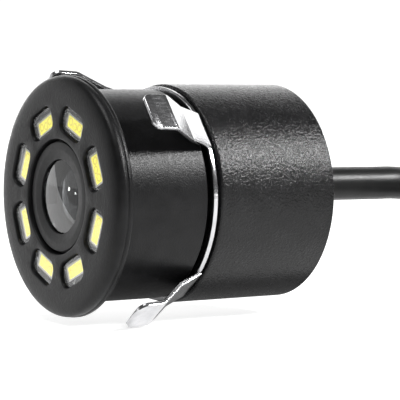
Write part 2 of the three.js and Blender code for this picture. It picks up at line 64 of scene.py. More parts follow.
ring_low, ring_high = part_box("clip_ring")
grommet_low, grommet_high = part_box("cable_grommet")
plug_low, plug_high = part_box("plug_body")
_, shell_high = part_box("plug_shell")

FLANGE_THICKNESS = 1.35
FLANGE_RADIUS = (housing_high.x - housing_low.x) / 2 / MM
SEAT_Y = housing_low.y + FLANGE_THICKNESS * MM
AXIS_Z = (housing_low.z + housing_high.z) / 2
CABLE_AXIS_Z = (grommet_low.z + grommet_high.z) / 2
CABLE_EXIT = Vector((0, grommet_high.y, CABLE_AXIS_Z))
CABLE_DIAMETER = 3.0

ROW_PLACE = Matrix.Scale(MM, 4)
CAMERA_PLACE = Matrix.Translation((0, SEAT_Y, AXIS_Z)) @ ROW_PLACE
GROMMET_PLACE = Matrix.Translation((0, SEAT_Y, CABLE_AXIS_Z)) @ ROW_PLACE
PLUG_AXIS = (plug_low + plug_high) / 2
PLUG_PLACE = (
    Matrix.Translation((PLUG_AXIS.x, shell_high.y, PLUG_AXIS.z))
    @ Matrix.Rotation(math.pi, 4, "Z") @ ROW_PLACE
)

FACE_THICKNESS = 1.1
FACE_FRONT = -FLANGE_THICKNESS
FACE_BACK = FACE_FRONT + FACE_THICKNESS
LAMP_COUNT = 8
WING_COUNT = 4
FIRST_WING_ANGLE = 53.2


def add_object(name, data):
    made = bpy.data.objects.new(name, data)
    bpy.context.scene.collection.objects.link(made)
    return made


# ---- Camera ----
def add_camera():
    azimuth = math.radians(56.4)
    elevation = math.radians(2.96)
    distance = 0.1633
    target = Vector((0.00169, -0.00005, 0.00979))
    back = Vector((
        math.sin(azimuth) * math.cos(elevation),
        -math.cos(azimuth) * math.cos(elevation),
        math.sin(elevation),
    ))
    data = bpy.data.cameras.new("camera")
    data.sensor_width = 36
    data.lens = 175.2
    data.clip_start = 0.01
    data.clip_end = 50
    camera = add_object("camera", data)
    camera.location = target + back * distance
    camera.rotation_mode = "QUATERNION"
    camera.rotation_quaternion = (-back).to_track_quat("-Z", "Y")
    bpy.context.scene.camera = camera


add_camera()


# ---- Materials ----
# The colour sockets of a Mix node, which share their names with its other sockets.
MIX_FIRST = 6
MIX_SECOND = 7
MIX_RESULT = 2


class Finish:
    """A Principled material, with short ways to add procedural detail in object coordinates."""

    def __init__(self, name, colour, roughness, metallic=0.0):
        self.name = name
        self.material = bpy.data.materials.new(name)
        self.material.use_nodes = True
        self.tree = self.material.node_tree
        self.shader = self.tree.nodes["Principled BSDF"]
        self.set("Base Color", (*colour, 1))
        self.set("Roughness", roughness)
        self.set("Metallic", metallic)
        self.coordinates = self.node("ShaderNodeTexCoord").outputs["Object"]

    def node(self, kind, **settings):
        made = self.tree.nodes.new(kind)
        for key, value in settings.items():
            setattr(made, key, value)
        return made

    def set(self, socket, value):
        """Give one of the shader's sockets a value."""
        self.feed(self.shader.inputs[socket], value)

    def feed(self, target, value):
        """Give a socket a plain value, or link it to the output that drives it."""
        if isinstance(value, bpy.types.NodeSocket):
            self.tree.links.new(value, target)
        else:
            target.default_value = value

    def noise(self, size, detail, stretch=(1, 1, 1)):
        """Noise from 0 to 1, in blobs about size millimetres across. A stretch divides that."""
        mapping = self.node("ShaderNodeMapping")
        mapping.inputs["Scale"].default_value = stretch
        self.tree.links.new(self.coordinates, mapping.inputs["Vector"])
        texture = self.node("ShaderNodeTexNoise")
        texture.inputs["Scale"].default_value = 1 / (size * MM)
        texture.inputs["Detail"].default_value = detail
        self.tree.links.new(mapping.outputs["Vector"], texture.inputs["Vector"])
        return texture.outputs["Fac"]

    def cells(self, size):
        """Rounded cells about size millimetres across, as in crackle paint or leather."""
        texture = self.node("ShaderNodeTexVoronoi", feature="SMOOTH_F1")
        texture.inputs["Scale"].default_value = 1 / (size * MM)
        texture.inputs["Smoothness"].default_value = 0.6
        self.tree.links.new(self.coordinates, texture.inputs["Vector"])
        return texture.outputs["Distance"]

    def spread(self, value, low, high, from_low=0.3, from_high=0.7):
        """The value, taken from its own range into another."""
        remap = self.node("ShaderNodeMapRange")
        remap.inputs["From Min"].default_value = from_low
        remap.inputs["From Max"].default_value = from_high
        remap.inputs["To Min"].default_value = low
        remap.inputs["To Max"].default_value = high
        self.tree.links.new(value, remap.inputs["Value"])
        return remap.outputs["Result"]

    def mix(self, factor, first, second):
        """Two colours mixed by a factor. Each may be a colour or an output."""
        made = self.node("ShaderNodeMix", data_type="RGBA")
        self.feed(made.inputs["Factor"], factor)
        for socket, colour in ((MIX_FIRST, first), (MIX_SECOND, second)):
            plain = not isinstance(colour, bpy.types.NodeSocket)
            self.feed(made.inputs[socket], (*colour, 1) if plain else colour)
        return made.outputs[MIX_RESULT]

    def combine(self, operation, first, second):
        """The sum or product of two numbers. Each may be a number or an output."""
        made = self.node("ShaderNodeMath", operation=operation)
        self.feed(made.inputs[0], first)
        self.feed(made.inputs[1], second)
        return made.outputs[0]

    def bump(self, height, depth):
        """Relief of depth millimetres."""
        made = self.node("ShaderNodeBump")
        made.inputs["Strength"].default_value = 1.0
        made.inputs["Distance"].default_value = depth * MM
        self.tree.links.new(height, made.inputs["Height"])
        self.set("Normal", made.outputs["Normal"])

    def edges(self, radius):
        """About 1 on edges sharper than radius millimetres and 0 on flat stretches."""
        bevel = self.node("ShaderNodeBevel", samples=4)
        bevel.inputs["Radius"].default_value = radius * MM
        geometry = self.node("ShaderNodeNewGeometry")
        dot = self.node("ShaderNodeVectorMath", operation="DOT_PRODUCT")
        self.tree.links.new(bevel.outputs["Normal"], dot.inputs[0])
        self.tree.links.new(geometry.outputs["Normal"], dot.inputs[1])
        return self.spread(dot.outputs["Value"], 1.0, 0.0, from_low=0.80, from_high=0.98)

    def clear_to_lamps(self):
        """Light from lamps passes straight through, so that what is behind the glass is lit."""
        path = self.node("ShaderNodeLightPath")
        open_way = self.node("ShaderNodeBsdfTransparent")
        choice = self.node("ShaderNodeMixShader")
        self.tree.links.new(path.outputs["Is Shadow Ray"], choice.inputs[0])
        self.tree.links.new(self.shader.outputs[0], choice.inputs[1])
        self.tree.links.new(open_way.outputs[0], choice.inputs[2])
        output = self.tree.nodes["Material Output"]
        self.tree.links.new(choice.outputs[0], output.inputs["Surface"])


def black_coat(name, dark, light, roughness, edge_highlight_amount, specular=0.5):
    """Black paint or moulding: soft cloudiness, uneven gloss, and a painted highlight that makes
    the edges a little lighter.
    """
    finish = Finish(name, dark, roughness)
    colour = finish.mix(finish.spread(finish.noise(1.6, 4), 0, 1), dark, light)
    # Painted highlight: the edges get a lighter colour, in patches, in place of the light that
    # catches the rims.
    patchy_highlight = finish.spread(finish.noise(0.5, 3), 0, edge_highlight_amount)
    highlight_edges = finish.combine("MULTIPLY", finish.edges(0.10), patchy_highlight)
    finish.set("Base Color", finish.mix(highlight_edges, colour, (0.10, 0.10, 0.105)))
    gloss = finish.noise(0.35, 4)
    finish.set("Roughness", finish.spread(gloss, roughness - 0.05, roughness + 0.06))
    finish.set("Specular IOR Level", specular)
    return finish


def grained(finish, size, depth):
    """The finish with a fine grain of size and depth millimetres."""
    finish.bump(finish.noise(size, 3), depth)
    return finish


def satin_black():
    coat = black_coat(
        "satin_black", (0.005, 0.005, 0.0053), (0.010, 0.010, 0.0105),
        roughness=0.34, edge_highlight_amount=0.4, specular=0.19,
    )
    return grained(coat, 0.13, 0.022)


def grain_black():
    """A coarser coat, with rounded cells in its grain."""
    coat = black_coat(
        "grain_black", (0.005, 0.005, 0.0052), (0.010, 0.010, 0.0105),
        roughness=0.23, edge_highlight_amount=0.4, specular=0.27,
    )
    coat.bump(coat.combine("ADD", coat.cells(0.19), coat.noise(0.10, 2)), 0.030)
    return coat


def black_moulding():
    coat = black_coat(
        "black_moulding", (0.008, 0.008, 0.0083), (0.013, 0.013, 0.0137),
        roughness=0.42, edge_highlight_amount=0.3, specular=0.27,
    )
    return grained(coat, 0.12, 0.008)


def rubber():
    coat = black_coat(
        "rubber", (0.010, 0.010, 0.010), (0.016, 0.016, 0.016), roughness=0.62, edge_highlight_amount=0.1,
    )
    return grained(coat, 0.10, 0.008)


def cable_jacket():
    coat = black_coat(
        "cable_jacket", (0.005, 0.005, 0.005), (0.010, 0.010, 0.010),
        roughness=0.36, edge_highlight_amount=0.1, specular=0.32,
    )
    return grained(coat, 0.12, 0.008)


def chip_black():
    coat = black_coat(
        "chip_black", (0.014, 0.014, 0.015), (0.022, 0.022, 0.023), roughness=0.55, edge_highlight_amount=0.2,
    )
    return grained(coat, 0.08, 0.004)


def metal(name, colour, dull, roughness, scratch_stretch, scratch_depth):
    """Bright metal with duller patches and fine scratches, drawn out where the stretch is small."""
    finish = Finish(name, colour, roughness, metallic=1.0)
    scratches = finish.noise(0.2, 3, scratch_stretch)
    patches = finish.noise(1.3, 3)
    finish.set("Base Color", finish.mix(finish.spread(patches, 0, 0.6), colour, dull))
    scratched = finish.spread(scratches, -0.03, 0.05)
    uneven = finish.combine("ADD", scratched, finish.spread(patches, 0, 0.05))
    finish.set("Roughness", finish.combine("ADD", uneven, roughness))
    finish.bump(scratches, scratch_depth)
    return finish


def spring_steel():
    return metal(
        "spring_steel", (0.63, 0.63, 0.64), (0.42, 0.42, 0.43),
        roughness=0.15, scratch_stretch=(1, 0.25, 1), scratch_depth=0.012,
    )


def nickel():
    return metal(
        "nickel", (0.74, 0.73, 0.70), (0.62, 0.61, 0.58),
        roughness=0.20, scratch_stretch=(1, 1, 1), scratch_depth=0.002,
    )


def brass():
    return metal(
        "brass", (0.83, 0.62, 0.26), (0.60, 0.42, 0.16),
        roughness=0.22, scratch_stretch=(1, 0.3, 1), scratch_depth=0.002,
    )


def clear_window():
    finish = Finish("clear_window", (0.94, 0.95, 0.96), 0.03)
    finish.set("Transmission Weight", 0.93)
    finish.set("IOR", 1.49)
    finish.set("Roughness", finish.spread(finish.noise(0.8, 3), 0.01, 0.06))
    finish.clear_to_lamps()
    return finish


def lens_glass():
    finish = Finish("lens_glass", (0.30, 0.31, 0.32), 0.01)
    finish.set("Transmission Weight", 1.0)
    finish.set("IOR", 1.80)
    finish.set("Roughness", finish.spread(finish.noise(1.5, 2), 0.0, 0.03))
    finish.clear_to_lamps()
    return finish


def lamp_phosphor():
    """Yellow gel, a little darker round the dies below it, whose rings the mesh marks as die."""
    finish = Finish("lamp_phosphor", (1.0, 0.85, 0.08), 0.45)
    marks = finish.node("ShaderNodeAttribute", attribute_name="die").outputs["Fac"]
    speckle = finish.spread(finish.noise(0.07, 3), 0, 0.35)
    gel = finish.mix(speckle, (0.98, 0.90, 0.07), (0.94, 0.80, 0.04))
    colour = finish.mix(marks, gel, (0.50, 0.40, 0.03))
    finish.set("Base Color", colour)
    # Painted light: the gel glows in its own colour, though the lamps are off, in place of the
    # light on it inside the slots.
    finish.set("Emission Color", colour)
    finish.set("Emission Strength", 0.75)
    finish.set("Roughness", finish.spread(finish.noise(0.2, 2), 0.35, 0.55))
    finish.bump(finish.noise(0.06, 2), 0.004)
    return finish


def pale_plastic(name, colour):
    """Coloured insulation, nylon or a lamp package: slight mottling and a soft grain."""
    finish = Finish(name, colour, 0.42)
    darker = tuple(channel * 0.8 for channel in colour)
    mottling = finish.spread(finish.noise(0.5, 3), 0, 0.7)
    finish.set("Base Color", finish.mix(mottling, colour, darker))
    finish.set("Roughness", finish.spread(finish.noise(0.3, 3), 0.36, 0.50))
    finish.bump(finish.noise(0.09, 2), 0.004)
    return finish


def circuit_board():
    """Green solder mask over copper tracks, which show as slightly raised paler bands."""
    tracks_per_metre = 420
    finish = Finish("circuit_board", (0.02, 0.12, 0.05), 0.32)
    tracks = finish.node("ShaderNodeTexBrick", offset=0.5)
    tracks.inputs["Scale"].default_value = tracks_per_metre
    tracks.inputs["Mortar Size"].default_value = 0.03
    finish.tree.links.new(finish.coordinates, tracks.inputs["Vector"])
    raised = tracks.outputs["Fac"]
    clouds = finish.spread(finish.noise(0.6, 3), 0, 1)
    mask = finish.mix(clouds, (0.015, 0.10, 0.04), (0.02, 0.14, 0.06))
    finish.set("Base Color", finish.mix(raised, mask, (0.06, 0.26, 0.10)))
    finish.set("Roughness", finish.spread(finish.noise(0.25, 2), 0.26, 0.40))
    finish.bump(raised, 0.02)
    return finish


FINISHES = [
    satin_black(), grain_black(), spring_steel(), black_moulding(), rubber(), clear_window(),
    lens_glass(), lamp_phosphor(), circuit_board(), chip_black(), brass(), nickel(), cable_jacket(),
    pale_plastic("white_nylon", (0.86, 0.85, 0.80)),
    pale_plastic("core_red", (0.45, 0.03, 0.02)),
    pale_plastic("core_black", (0.015, 0.015, 0.015)),
    pale_plastic("core_yellow", (0.75, 0.50, 0.04)),
    pale_plastic("core_white", (0.80, 0.80, 0.78)),
]
MATERIALS = {finish.name: finish.material for finish in FINISHES}


# ---- Shapes ----
def rounded(corners, closed=True, steps=4):
    """The points of an outline whose corners are (x, y) or (x, y, radius of the corner)."""
    points = []
    for i, corner in enumerate(corners):
        here = Vector(corner[:2])
        if len(corner) == 2 or not (closed or 0 < i < len(corners) - 1):
            points.append(here)
            continue
        radius = corner[2]
        before = (Vector(corners[i - 1][:2]) - here).normalized()
        after = (Vector(corners[(i + 1) % len(corners)][:2]) - here).normalized()
        half = before.angle(after) / 2
        centre = here + (before + after).normalized() * radius / math.sin(half)
        start = here + before * radius / math.tan(half) - centre
        end = here + after * radius / math.tan(half) - centre
        swing = start.angle(end)
        for k in range(steps + 1):
            share = k / steps
            along = start * math.sin((1 - share) * swing) + end * math.sin(share * swing)
            points.append(centre + along / math.sin(swing))
    return points


def rectangle(width, height, corner, steps=5):
    """A rounded rectangle centred on the origin."""
    right = width / 2
    top = height / 2
    corners = ((right, -top), (right, top), (-right, top), (-right, -top))
    return rounded([(x, y, corner) for x, y in corners], steps=steps)


def round_axis(radius, angle, y):
    """The point at a radius and an angle in radians round the axis."""
    return Vector((radius * math.sin(angle), y, radius * math.cos(angle)))


WELD_DISTANCE = 0.0001


class Shape:
    """A closed surface in the making, in millimetres."""

    def __init__(self):
        self.mesh = bmesh.new()

    def loop(self, points):
        return [self.mesh.verts.new(point) for point in points]

    def ring(self, radius, y, segments):
        """A circle round the axis."""
        turn = 2 * math.pi / segments
        return self.loop([round_axis(radius, i * turn, y) for i in range(segments)])

    def bridge(self, first, second):
        for i in range(len(first)):
            self.mesh.faces.new((first[i - 1], first[i], second[i], second[i - 1]))

    def stack(self, loops):
        for first, second in zip(loops, loops[1:]):
            self.bridge(first, second)

    def turn_profile(self, profile, segments, closed=False):
        """Skin of revolution from (radius, y) points. Returns its first and last rings."""
        rings = [self.ring(radius, y, segments) for radius, y in profile]
        self.stack(rings)
        if closed:
            self.bridge(rings[-1], rings[0])
        return rings[0], rings[-1]

    def fill(self, *loops):
        """A flat fill of the first loop, less the loops inside it."""
        edges = []
        for loop in loops:
            for i in range(len(loop)):
                pair = (loop[i - 1], loop[i])
                edges.append(self.mesh.edges.get(pair) or self.mesh.edges.new(pair))
        bmesh.ops.triangle_fill(self.mesh, use_beauty=True, use_dissolve=False, edges=edges)

    def prism(self, outline_at, levels):
        """Loops for each (y, inset) level of an outline, as a stack. Returns the first and last."""
        loops = [self.loop(outline_at(y, inset)) for y, inset in levels]
        self.stack(loops)
        return loops[0], loops[-1]

    def piece(self, name, slot, place, body="housing", stands_for=(), crease=38):
        """The finished piece, riding on its body."""
        bmesh.ops.remove_doubles(self.mesh, verts=self.mesh.verts, dist=WELD_DISTANCE)
        bmesh.ops.recalc_face_normals(self.mesh, faces=self.mesh.faces)
        mesh = bpy.data.meshes.new(name)
        self.mesh.to_mesh(mesh)
        self.mesh.free()
        mesh.transform(place)
        mesh.shade_smooth()
        mesh.set_sharp_from_angle(angle=math.radians(crease))
        mesh.materials.append(MATERIALS[slot])
        made = add_object(name, mesh)
        weighted = made.modifiers.new("even_shading", "WEIGHTED_NORMAL")
        weighted.keep_sharp = True
        if stands_for:
            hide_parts(*stands_for)
        if body:
            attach(made, body)
        return made


def turned(profile, segments=96):
    """A closed body of revolution. A profile that starts on the axis also ends there."""
    shape = Shape()
    shape.turn_profile(profile, segments, closed=profile[0][0] > 0)
    return shape


def fillet_levels(front, back, inset, steps=4):
    """(y, inset) levels of a straight wall from back to front, rounded off at the front edge."""
    levels = [(back, 0.0)]
    for k in range(steps + 1):
        angle = math.pi / 2 * k / steps
        levels.append((front + inset * (1 - math.sin(angle)), inset * (1 - math.cos(angle))))
    return levels


def lamp_turn(index):
    """The turn from the top of the camera to a lamp."""
    return Matrix.Rotation((index + 0.5) * 2 * math.pi / LAMP_COUNT, 3, "Y")


def slot_outline(width, height, corner, radius, index):
    """A function that gives an outline in the place of one lamp at a y, shrunk by an inset."""
    turn = lamp_turn(index)

    def outline_at(y, inset):
        points = rectangle(width - 2 * inset, height - 2 * inset, corner - inset)
        return [turn @ Vector((point.x, y, point.y + radius)) for point in points]

    return outline_at


# ---- Housings ----
# The slots, and the housings' radii and distances along the axis.
SLOT_WIDTH = 3.6
SLOT_HEIGHT = 2.2
SLOT_CORNER = 0.85
SLOT_RADIUS = 6.355
LENS_HOLE_RADIUS = 4.68
FRONT_BARREL_RADIUS = 8.7
FRONT_BARREL_END = 7.7
FRONT_BORE = 7.9
REAR_BORE = 8.25
SPIGOT_RADIUS = 7.55
SPIGOT_BORE = 6.95
SPIGOT_END = 4.4
SEAL_GROOVE_RADIUS = 7.2
SEAL_GROOVE = (5.2, 6.2)
REAR_BARREL_START = 8.7
BORE_STEP = 9.6
WALL_THICKNESS = 1.3
CABLE_HOLE_RADIUS = 2.25


def bezier(first, second, third, fourth, steps):
    """Points along the curve from first to fourth that second and third pull at."""
    points = []
    for k in range(steps + 1):
        t = k / steps
        u = 1 - t
        weights = (u ** 3, 3 * t * u * u, 3 * t * t * u, t ** 3)
        ends = (first, second, third, fourth)
        points.append(tuple(sum(w * p[axis] for w, p in zip(weights, ends)) for axis in (0, 1)))
    return points


def front_housing():
    """Domed flange with a fine crease round its rim, eight slots and the lens hole; the barrel."""
    segments = 160
    rim_edge = 0.12
    shape = Shape()
    flat_radius = 7.75
    crown = bezier(
        (flat_radius, FACE_FRONT), (9.2, FACE_FRONT), (9.9, -1.22), (9.80, -0.47), steps=18,
    )
    rim = [
        (9.78, -0.44), (9.78, -0.41), (9.83, -0.37), (FLANGE_RADIUS, -0.32),
        (FLANGE_RADIUS, -0.10), (FLANGE_RADIUS - 0.04, -0.03), (FLANGE_RADIUS - 0.12, 0.0),
    ]
    barrel = rounded([
        (FRONT_BARREL_RADIUS + 0.3, 0.0), (FRONT_BARREL_RADIUS, 0.0, 0.1),
        (FRONT_BARREL_RADIUS, FRONT_BARREL_END, 0.18), (FRONT_BORE, FRONT_BARREL_END, 0.1),
        (FRONT_BORE, FACE_BACK + 0.01),
    ], closed=False)
    outer, bore = shape.turn_profile([*crown, *rim, *barrel, (FRONT_BORE, FACE_BACK)], segments)
    hole_levels = [(y, -inset) for y, inset in fillet_levels(FACE_FRONT, FACE_BACK, rim_edge)]
    hole_back, hole_front = shape.turn_profile(
        [(LENS_HOLE_RADIUS - inset, y) for y, inset in hole_levels], segments,
    )
    fronts = []
    backs = []
    for i in range(LAMP_COUNT):
        outline = slot_outline(SLOT_WIDTH, SLOT_HEIGHT, SLOT_CORNER, SLOT_RADIUS, i)
        back, front = shape.prism(outline, hole_levels)
        fronts.append(front)
        backs.append(back)
    shape.fill(outer, hole_front, *fronts)
    shape.fill(bore, hole_back, *backs)
    shape.piece("housing_front", "satin_black", CAMERA_PLACE, stands_for=["front_housing"])


def rear_housing():
    """Barrel with the spigot that plugs into the front one, and the back wall with a cable hole."""
    segments = 160
    hole_segments = 64
    radius = (rear_high.x - rear_low.x) / 2 / MM
    end = (rear_high.y - SEAT_Y) / MM
    inner_face = end - WALL_THICKNESS
    groove_start, groove_end = SEAL_GROOVE
    shape = Shape()
    skin = rounded([
        (REAR_BORE, inner_face), (REAR_BORE, BORE_STEP), (SPIGOT_BORE, BORE_STEP),
        (SPIGOT_BORE, SPIGOT_END, 0.1), (SPIGOT_RADIUS, SPIGOT_END, 0.2),
        (SPIGOT_RADIUS, groove_start), (SEAL_GROOVE_RADIUS, groove_start),
        (SEAL_GROOVE_RADIUS, groove_end), (SPIGOT_RADIUS, groove_end),
        (SPIGOT_RADIUS, REAR_BARREL_START), (radius, REAR_BARREL_START, 0.2),
        (radius, end, 0.13), (radius - 0.8, end),
    ], closed=False, steps=6)
    inside, outside = shape.turn_profile(skin, segments)
    offset = Vector((0, 0, (CABLE_AXIS_Z - AXIS_Z) / MM))
    hole = []
    for y, grow in ((inner_face, 0.0), (end - 0.1, 0.0), (end - 0.03, 0.04), (end, 0.1)):
        angles = [i * 2 * math.pi / hole_segments for i in range(hole_segments)]
        rim = [round_axis(CABLE_HOLE_RADIUS + grow, angle, y) for angle in angles]
        hole.append(shape.loop([point + offset for point in rim]))
    shape.stack(hole)
    shape.fill(outside, hole[-1])
    shape.fill(inside, hole[0])
    shape.piece("housing_rear", "grain_black", CAMERA_PLACE, stands_for=["rear_housing"])


# ---- Lens ----
NOSE_FRONT = FACE_FRONT + 0.25
NOSE_RADIUS = 4.47
NOSE_SEAL_RADIUS = 4.11
NOSE_BACK = 0.9
TUBE_RADIUS = 3.9
LENS_END = 7.3
FRONT_GLASS_SEAT = 3.2
INNER_BORE = 2.7
REAR_APERTURE = 2.1
LIP_RADIUS = 3.03


def lens_nose():
    """Flat band, shallow dish, the lip that holds the front glass, seal groove and stepped bore."""
    front = NOSE_FRONT
    seal_front = -0.91
    seal_back = -0.39
    glass_back = 1.7
    aperture_front = 6.8
    profile = rounded([
        (3.8, front, 0.1), (NOSE_RADIUS, front, 0.1), (NOSE_RADIUS, seal_front),
        (NOSE_SEAL_RADIUS, seal_front), (NOSE_SEAL_RADIUS, seal_back), (NOSE_RADIUS, seal_back),
        (NOSE_RADIUS, NOSE_BACK, 0.05), (TUBE_RADIUS, NOSE_BACK), (TUBE_RADIUS, LENS_END, 0.1),
        (REAR_APERTURE, LENS_END), (REAR_APERTURE, aperture_front), (INNER_BORE, aperture_front),
        (INNER_BORE, glass_back), (FRONT_GLASS_SEAT, glass_back), (FRONT_GLASS_SEAT, front + 0.26),
        (LIP_RADIUS, front + 0.26, 0.03), (LIP_RADIUS, front + 0.09, 0.04),
    ])
    turned(profile, 128).piece(
        "lens_nose", "black_moulding", CAMERA_PLACE, stands_for=["lens_barrel"],
    )


def lens_element(name, radius, front_edge, back_edge, front_crown, back_crown, node):
    """A glass element with two curved faces and a fine ground bevel at each edge."""
    rings = 20
    bevel = 0.05
    rim = radius - bevel
    front = []
    back = []
    for i in range(rings + 1):
        share = i / rings
        front.append((rim * share, front_edge - front_crown * (1 - share * share)))
        back.append((rim * share, back_edge + back_crown * (1 - share * share)))
    side = [(radius, front_edge + bevel), (radius, back_edge - bevel)]
    turned([*front, *side, *reversed(back)], 96).piece(
        name, "lens_glass", CAMERA_PLACE, stands_for=[node],
    )


# ---- Lamps and their window ----
WINDOW_FRONT = FACE_FRONT + 0.27
WINDOW_BACK = 0.2
WINDOW_OUTER_RADIUS = 7.75
WINDOW_INNER_RADIUS = 4.85
LAMP_RADIUS = 6.23
LAMP_FRONT = WINDOW_FRONT + 0.25
LAMP_LENGTH = 2.62
LAMP_HEIGHT = 1.28
LAMP_DEPTH = 1.1
CAVITY_DEPTH = 0.3
PHOSPHOR_LENGTH = 2.34
PHOSPHOR_HEIGHT = 1.02


def lamp_window():
    """Clear ring with a block in each slot and a pocket behind each block for its lamp."""
    segments = 120
    plate_front = FACE_BACK + 0.05
    shape = Shape()
    outer_front = shape.ring(WINDOW_OUTER_RADIUS, plate_front, segments)
    outer_back = shape.ring(WINDOW_OUTER_RADIUS, WINDOW_BACK, segments)
    inner_front = shape.ring(WINDOW_INNER_RADIUS, plate_front, segments)
    inner_back = shape.ring(WINDOW_INNER_RADIUS, WINDOW_BACK, segments)
    shape.bridge(outer_front, outer_back)
    shape.bridge(inner_front, inner_back)
    gap = 0.06
    pocket_gap = 0.04
    feet = []
    mouths = []
    for i in range(LAMP_COUNT):
        block = slot_outline(
            SLOT_WIDTH - 2 * gap, SLOT_HEIGHT - 2 * gap, SLOT_CORNER - gap, SLOT_RADIUS, i,
        )
        foot, top = shape.prism(block, fillet_levels(WINDOW_FRONT, plate_front, 0.07))
        shape.fill(top)
        feet.append(foot)
        pocket = slot_outline(
            LAMP_LENGTH + 2 * pocket_gap, LAMP_HEIGHT + 2 * pocket_gap, 0.12, LAMP_RADIUS, i,
        )
        mouth, floor = shape.prism(pocket, [(WINDOW_BACK, 0), (LAMP_FRONT - pocket_gap, 0)])
        shape.fill(floor)
        mouths.append(mouth)
    shape.fill(outer_front, inner_front, *feet)
    shape.fill(outer_back, inner_back, *mouths)
    shape.piece("window_ring", "clear_window", CAMERA_PLACE, stands_for=["lamp_window"])


def lamp_package(index):
    """White package: a rim round the open cavity that holds the phosphor."""
    shape = Shape()
    body = slot_outline(LAMP_LENGTH, LAMP_HEIGHT, 0.1, LAMP_RADIUS, index)
    foot, rim = shape.prism(body, fillet_levels(LAMP_FRONT, LAMP_FRONT + LAMP_DEPTH, 0.03, 2))
    cavity = slot_outline(PHOSPHOR_LENGTH, PHOSPHOR_HEIGHT, 0.12, LAMP_RADIUS, index)
    top, floor = shape.prism(cavity, [(LAMP_FRONT, 0), (LAMP_FRONT + CAVITY_DEPTH, 0.06)])
    shape.fill(rim, top)
    shape.fill(floor)
    shape.fill(foot)
    name = f"lamp_{index + 1}"
    shape.piece(name + "_package", "white_nylon", CAMERA_PLACE, stands_for=[name])


def phosphor(index):
    """Gel that fills the package, slightly domed, with a mark round each of its three dies."""
    across = 66
    up = 33
    length = PHOSPHOR_LENGTH - 0.02
    height = PHOSPHOR_HEIGHT - 0.02
    rim = LAMP_FRONT + 0.06
    dome_height = 0.05
    gel_depth = 0.2
    die_radius = 0.28
    die_centres = [(-0.70, 0.06), (0.02, -0.10), (0.72, 0.08)]
    mark_half_width = 0.08
    mark_strength = 0.8
    turn = lamp_turn(index)
    shape = Shape()
    layer = shape.mesh.verts.layers.float.new("die")
    grid = []
    for j in range(up + 1):
        line = []
        for i in range(across + 1):
            u = 2 * i / across - 1
            v = 2 * j / up - 1
            x = u * length / 2
            z = v * height / 2
            dome = dome_height * (1 - u ** 4) * (1 - v ** 4)
            vertex = shape.mesh.verts.new(turn @ Vector((x, rim - dome, z + LAMP_RADIUS)))
            for die_x, die_z in die_centres:
                off = abs(math.hypot(x - die_x, z - die_z) - die_radius)
                mark = max(0.0, 1 - off / mark_half_width) * mark_strength
                vertex[layer] = max(vertex[layer], mark)
            line.append(vertex)
        grid.append(line)
    for j in range(up):
        for i in range(across):
            corners = (grid[j][i], grid[j][i + 1], grid[j + 1][i + 1], grid[j + 1][i])
            shape.mesh.faces.new(corners)
    right = [line[-1] for line in grid[1:-1]]
    left = [line[0] for line in reversed(grid[1:-1])]
    edge = [*grid[0], *right, *reversed(grid[-1]), *left]
    down = turn @ Vector((0, gel_depth, 0))
    floor = shape.loop([vertex.co + down for vertex in edge])
    shape.bridge(edge, floor)
    shape.fill(floor)
    shape.piece(f"lamp_{index + 1}_phosphor", "lamp_phosphor", CAMERA_PLACE, crease=60)


# ---- Clip: ring and wings ----
RING_INNER = 7.8
RING_OUTER = 8.95
WING_WIDTH = 3.3
WING_THICKNESS = 0.36
WING_EDGE = 0.07
WING_TIP_CORNER = 0.75
# A wing's outer face, from the ring to the tip: y, distance from the axis, radius of the bend.
WING_LINE = [
    (8.46, 8.55), (8.46, 9.02, 0.42), (6.16, 10.0, 0.9), (3.95, 11.58, 0.9), (1.65, 11.75),
]


def clip_ring():
    front = (ring_low.y - SEAT_Y) / MM
    back = (ring_high.y - SEAT_Y) / MM
    profile = rounded([
        (RING_INNER, front, 0.05), (RING_OUTER, front, 0.08), (RING_OUTER, back, 0.08),
        (RING_INNER, back, 0.05),
    ])
    turned(profile, 160).piece(
        "clip_band", "spring_steel", CAMERA_PLACE, body="clip", stands_for=["clip_ring"],
    )


def even_line(points, step):
    """The line with extra points so that none of its steps is longer than step."""
    line = [points[0]]
    for before, after in zip(points, points[1:]):
        count = max(1, math.ceil((after - before).length / step))
        line += [before.lerp(after, k / count) for k in range(1, count + 1)]
    return line


def wing_stations():
    """Places along a wing: a point of its outer face, the way inwards, and the length left."""
    line = even_line(rounded(WING_LINE, closed=False, steps=10), 0.16)
    left = sum((after - before).length for before, after in zip(line, line[1:]))
    stations = []
    for k, point in enumerate(line):
        if k:
            left -= (point - line[k - 1]).length
        along = (line[min(k + 1, len(line) - 1)] - line[max(k - 1, 0)]).normalized()
        inward = Vector((-along.y, along.x))
        stations.append((point, inward, left))
    end = stations.pop()
    towards_tip = (line[-1] - line[-2]).normalized()
    for left in (0.05, 0.02, 0.0):
        stations.append((end[0] - towards_tip * left, end[1], left))
    return stations


def rounding(radius, left):
    """How far a corner of a radius draws its edge in where a length is left up to the end."""
    rest = max(0.0, radius - left)
    return radius - math.sqrt(max(0.0, radius ** 2 - rest ** 2))


def wing(index):
    """A strip of spring steel bent out of the ring, forward and out to its rounded tip."""
    turn = Matrix.Rotation(math.radians(FIRST_WING_ANGLE + index * 360 / WING_COUNT), 3, "Y")
    shape = Shape()
    loops = []
    for point, inward, left in wing_stations():
        width = WING_WIDTH - 2 * rounding(WING_TIP_CORNER, left)
        squeeze = rounding(WING_EDGE, left)
        # Not quite all of the squeeze, so that the corners stay rounded at the tip.
        corner = WING_EDGE - squeeze * 0.99
        section = rectangle(width, WING_THICKNESS - 2 * squeeze, corner, 3)
        centre = point + inward * WING_THICKNESS / 2
        loops.append(shape.loop([
            turn @ Vector((p.x, centre.x - inward.x * p.y, centre.y - inward.y * p.y))
            for p in section
        ]))
    shape.stack(loops)
    shape.fill(loops[0])
    shape.fill(loops[-1])
    name = f"wing_{index + 1}"
    strip = shape.piece(
        name + "_strip", "spring_steel", CAMERA_PLACE, body=None, stands_for=[name],
    )
    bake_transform(strip)


